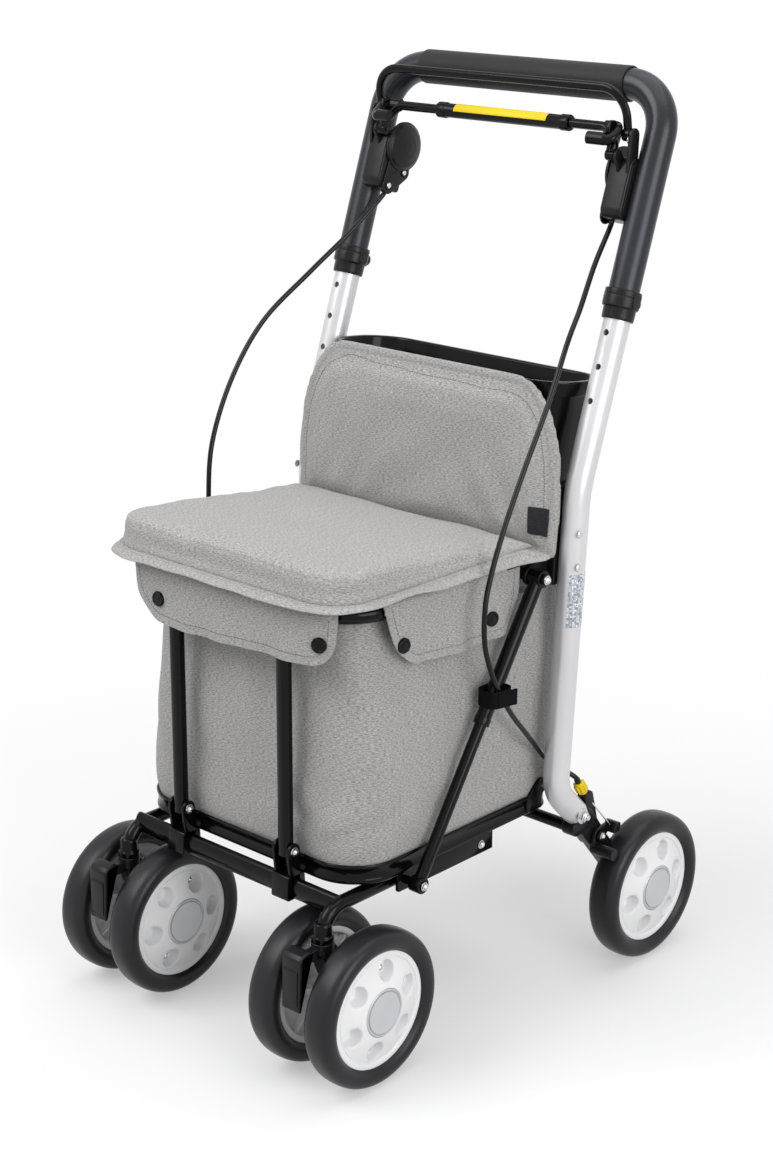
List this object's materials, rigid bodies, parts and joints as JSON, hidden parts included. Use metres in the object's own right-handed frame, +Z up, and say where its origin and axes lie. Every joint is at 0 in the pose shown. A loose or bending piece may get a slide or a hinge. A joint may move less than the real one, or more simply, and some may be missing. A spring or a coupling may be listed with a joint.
{
  "type": "shopping rollator",
  "caption": "Four-legged shopping rollator with a telescopic push handle, hinged seat lid over a fabric bag, rear basket, twin-wheel casters, hand brakes and a folding base.",
  "frame": {"origin": "on the floor, at the middle of the bounding box's underside, half way between the front and rear axles", "axes": "+Z up, -Y towards the front where the casters are, +X to the right seen from the front"},
  "size_m": [0.4266, 0.52, 0.8725],
  "materials": {
    "satin_silver": "satin anodised tube",
    "gloss_black_paint": "gloss black powder coat",
    "satin_anthracite": "satin dark grey coat",
    "moulded_black": "matte moulded plastic",
    "grip_rubber": "soft matte sleeve",
    "tyre_rubber": "matte solid tyre",
    "rim_white": "pale satin plastic",
    "yellow_plastic": "yellow plastic",
    "grey_fabric": "woven melange cloth",
    "cable_black": "black cable sheath"
  },
  "bodies": {
    "rear_frame": {"upright_l": "satin_silver", "upright_r": "satin_silver", "rear_fitting_l": "moulded_black", "rear_fitting_r": "moulded_black", "cable_adjuster_l": "yellow_plastic", "cable_adjuster_r": "yellow_plastic", "seat_bracket_l": "moulded_black", "seat_bracket_r": "moulded_black", "rear_cross_tube": "gloss_black_paint", "back_cross_tube": "gloss_black_paint", "backrest": "grey_fabric", "basket": "moulded_black", "brake_cable_l": "cable_black", "brake_cable_r": "cable_black"},
    "rear_wheel_l": {"rear_tyre_l": "tyre_rubber", "rear_rim_l": "rim_white"},
    "rear_wheel_r": {"rear_tyre_r": "tyre_rubber", "rear_rim_r": "rim_white"},
    "brake_l": {"brake_arm_l": "moulded_black"},
    "brake_r": {"brake_arm_r": "moulded_black"},
    "handle": {"handle_tube": "satin_anthracite", "grip_sleeve": "grip_rubber", "collar_l": "moulded_black", "collar_r": "moulded_black", "brake_housing_l": "moulded_black", "brake_housing_r": "moulded_black", "brake_cover_l": "moulded_black", "brake_cover_r": "moulded_black"},
    "button_l": {"height_button_l": "moulded_black"},
    "button_r": {"height_button_r": "moulded_black"},
    "lever": {"brake_lever": "gloss_black_paint"},
    "park": {"park_bar": "moulded_black"},
    "seat": {"seat_frame": "gloss_black_paint", "front_flap": "grey_fabric", "side_flap_l": "grey_fabric", "side_flap_r": "grey_fabric"},
    "lid": {"seat_board": "grey_fabric", "seat_cushion": "grey_fabric"},
    "front_bars": {"front_bar_l": "gloss_black_paint", "front_bar_r": "gloss_black_paint"},
    "base": {"fork_frame": "gloss_black_paint", "tray": "gloss_black_paint", "bag": "grey_fabric"},
    "caster_l": {"caster_fork_l": "moulded_black"},
    "caster_r": {"caster_fork_r": "moulded_black"},
    "swivel_lock_l_body": {"swivel_lock_l": "satin_anthracite"},
    "swivel_lock_r_body": {"swivel_lock_r": "satin_anthracite"},
    "front_wheel_l_out": {"front_tyre_l_out": "tyre_rubber", "front_rim_l_out": "rim_white"},
    "front_wheel_l_in": {"front_tyre_l_in": "tyre_rubber", "front_rim_l_in": "rim_white"},
    "front_wheel_r_out": {"front_tyre_r_out": "tyre_rubber", "front_rim_r_out": "rim_white"},
    "front_wheel_r_in": {"front_tyre_r_in": "tyre_rubber", "front_rim_r_in": "rim_white"},
    "brace_l": {"brace_tube_l": "gloss_black_paint"},
    "brace_r": {"brace_tube_r": "gloss_black_paint", "cable_strap": "moulded_black"},
    "brace_rod_l_body": {"brace_rod_l": "gloss_black_paint"},
    "brace_rod_r_body": {"brace_rod_r": "gloss_black_paint"}
  },
  "joints": [
    {"name": "fold", "type": "hinge", "parent": "rear_frame", "child": "base", "pos_m": [0, 0.074, 0.203], "axis": [-1, 0, 0], "range_deg": [-60, 0], "deforming": ["bag"]},
    {"name": "seat_fold", "type": "hinge", "parent": "rear_frame", "child": "seat", "pos_m": [0, 0.074, 0.42], "axis": [-1, 0, 0], "range_deg": [-60.2, 0.2]},
    {"name": "front_bars_turn", "type": "hinge", "parent": "seat", "child": "front_bars", "pos_m": [0, -0.195, 0.42], "axis": [-1, 0, 0], "range_deg": [-0.2, 60.2], "deforming": ["front_flap"]},
    {"name": "brace_turn_l", "type": "hinge", "parent": "rear_frame", "child": "brace_l", "pos_m": [-0.159, 0.047, 0.4225], "axis": [-1, 0, 0], "range_deg": [-27.4, 0.2]},
    {"name": "brace_turn_r", "type": "hinge", "parent": "rear_frame", "child": "brace_r", "pos_m": [0.159, 0.047, 0.4225], "axis": [-1, 0, 0], "range_deg": [-27.4, 0.2]},
    {"name": "brace_slide_l", "type": "slide", "parent": "brace_l", "child": "brace_rod_l_body", "axis": [0, -0.5397, -0.8419], "range_m": [-0.0005, 0.1018]},
    {"name": "brace_slide_r", "type": "slide", "parent": "brace_r", "child": "brace_rod_r_body", "axis": [0, -0.5397, -0.8419], "range_m": [-0.0005, 0.1018]},
    {"name": "lid_hinge", "type": "hinge", "parent": "seat", "child": "lid", "pos_m": [0, 0.0512, 0.4486], "axis": [-1, 0, 0], "range_deg": [0, 70]},
    {"name": "handle_height", "type": "slide", "parent": "rear_frame", "child": "handle", "axis": [0, 0.3223, 0.9466], "range_m": [-0.096, 0.032], "deforming": ["brake_cable_l", "brake_cable_r"]},
    {"name": "height_button_press_l", "type": "slide", "parent": "handle", "child": "button_l", "axis": [0, 0.9466, -0.3223], "range_m": [0, 0.004], "stiffness_N_per_m": 400},
    {"name": "height_button_press_r", "type": "slide", "parent": "handle", "child": "button_r", "axis": [0, 0.9466, -0.3223], "range_m": [0, 0.004], "stiffness_N_per_m": 400},
    {"name": "brake_lever_squeeze", "type": "hinge", "parent": "handle", "child": "lever", "pos_m": [0, 0.17017, 0.81429], "axis": [-1, 0, 0], "range_deg": [0, 25], "stiffness_Nm_per_rad": 2, "springref_deg": -5.73},
    {"name": "park_bar_turn", "type": "hinge", "parent": "handle", "child": "park", "pos_m": [0, 0.16088, 0.79632], "axis": [-1, 0, 0], "range_deg": [-50, 0]},
    {"name": "brake_turn_l", "type": "hinge", "parent": "rear_frame", "child": "brake_l", "pos_m": [-0.1776, 0.126, 0.143], "axis": [-1, 0, 0], "range_deg": [-9, 0.1]},
    {"name": "brake_turn_r", "type": "hinge", "parent": "rear_frame", "child": "brake_r", "pos_m": [0.1776, 0.126, 0.143], "axis": [-1, 0, 0], "range_deg": [-9, 0.1]},
    {"name": "rear_wheel_spin_l", "type": "hinge", "parent": "rear_frame", "child": "rear_wheel_l", "pos_m": [-0.195, 0.185, 0.075], "axis": [-1, 0, 0], "continuous": true},
    {"name": "rear_wheel_spin_r", "type": "hinge", "parent": "rear_frame", "child": "rear_wheel_r", "pos_m": [0.195, 0.185, 0.075], "axis": [-1, 0, 0], "continuous": true},
    {"name": "caster_swivel_l", "type": "hinge", "parent": "base", "child": "caster_l", "pos_m": [-0.13, -0.21, 0.138], "axis": [0, 0, 1], "continuous": true},
    {"name": "caster_swivel_r", "type": "hinge", "parent": "base", "child": "caster_r", "pos_m": [0.13, -0.21, 0.138], "axis": [0, 0, 1], "continuous": true},
    {"name": "swivel_lock_turn_l", "type": "hinge", "parent": "caster_l", "child": "swivel_lock_l_body", "pos_m": [-0.13, -0.2375, 0.129], "axis": [-1, 0, 0], "range_deg": [0, 18]},
    {"name": "swivel_lock_turn_r", "type": "hinge", "parent": "caster_r", "child": "swivel_lock_r_body", "pos_m": [0.13, -0.2375, 0.129], "axis": [-1, 0, 0], "range_deg": [0, 18]},
    {"name": "front_wheel_spin_l_out", "type": "hinge", "parent": "caster_l", "child": "front_wheel_l_out", "pos_m": [-0.165, -0.185, 0.075], "axis": [-1, 0, 0], "continuous": true},
    {"name": "front_wheel_spin_l_in", "type": "hinge", "parent": "caster_l", "child": "front_wheel_l_in", "pos_m": [-0.095, -0.185, 0.075], "axis": [-1, 0, 0], "continuous": true},
    {"name": "front_wheel_spin_r_out", "type": "hinge", "parent": "caster_r", "child": "front_wheel_r_out", "pos_m": [0.165, -0.185, 0.075], "axis": [-1, 0, 0], "continuous": true},
    {"name": "front_wheel_spin_r_in", "type": "hinge", "parent": "caster_r", "child": "front_wheel_r_in", "pos_m": [0.095, -0.185, 0.075], "axis": [-1, 0, 0], "continuous": true}
  ],
  "couplings": [
    {"joint": "seat_fold", "follows": "fold", "ratio": 1},
    {"joint": "front_bars_turn", "follows": "fold", "ratio": -1},
    {"joint": "brace_turn_l", "follows": "fold", "ratio": 0.4533},
    {"joint": "brace_turn_r", "follows": "fold", "ratio": 0.4533},
    {"joint": "brace_slide_l", "follows": "fold", "m_per_rad": -0.0967},
    {"joint": "brace_slide_r", "follows": "fold", "m_per_rad": -0.0967},
    {"joint": "brake_turn_l", "follows": "brake_lever_squeeze", "ratio": -0.34},
    {"joint": "brake_turn_r", "follows": "brake_lever_squeeze", "ratio": -0.34}
  ]
}
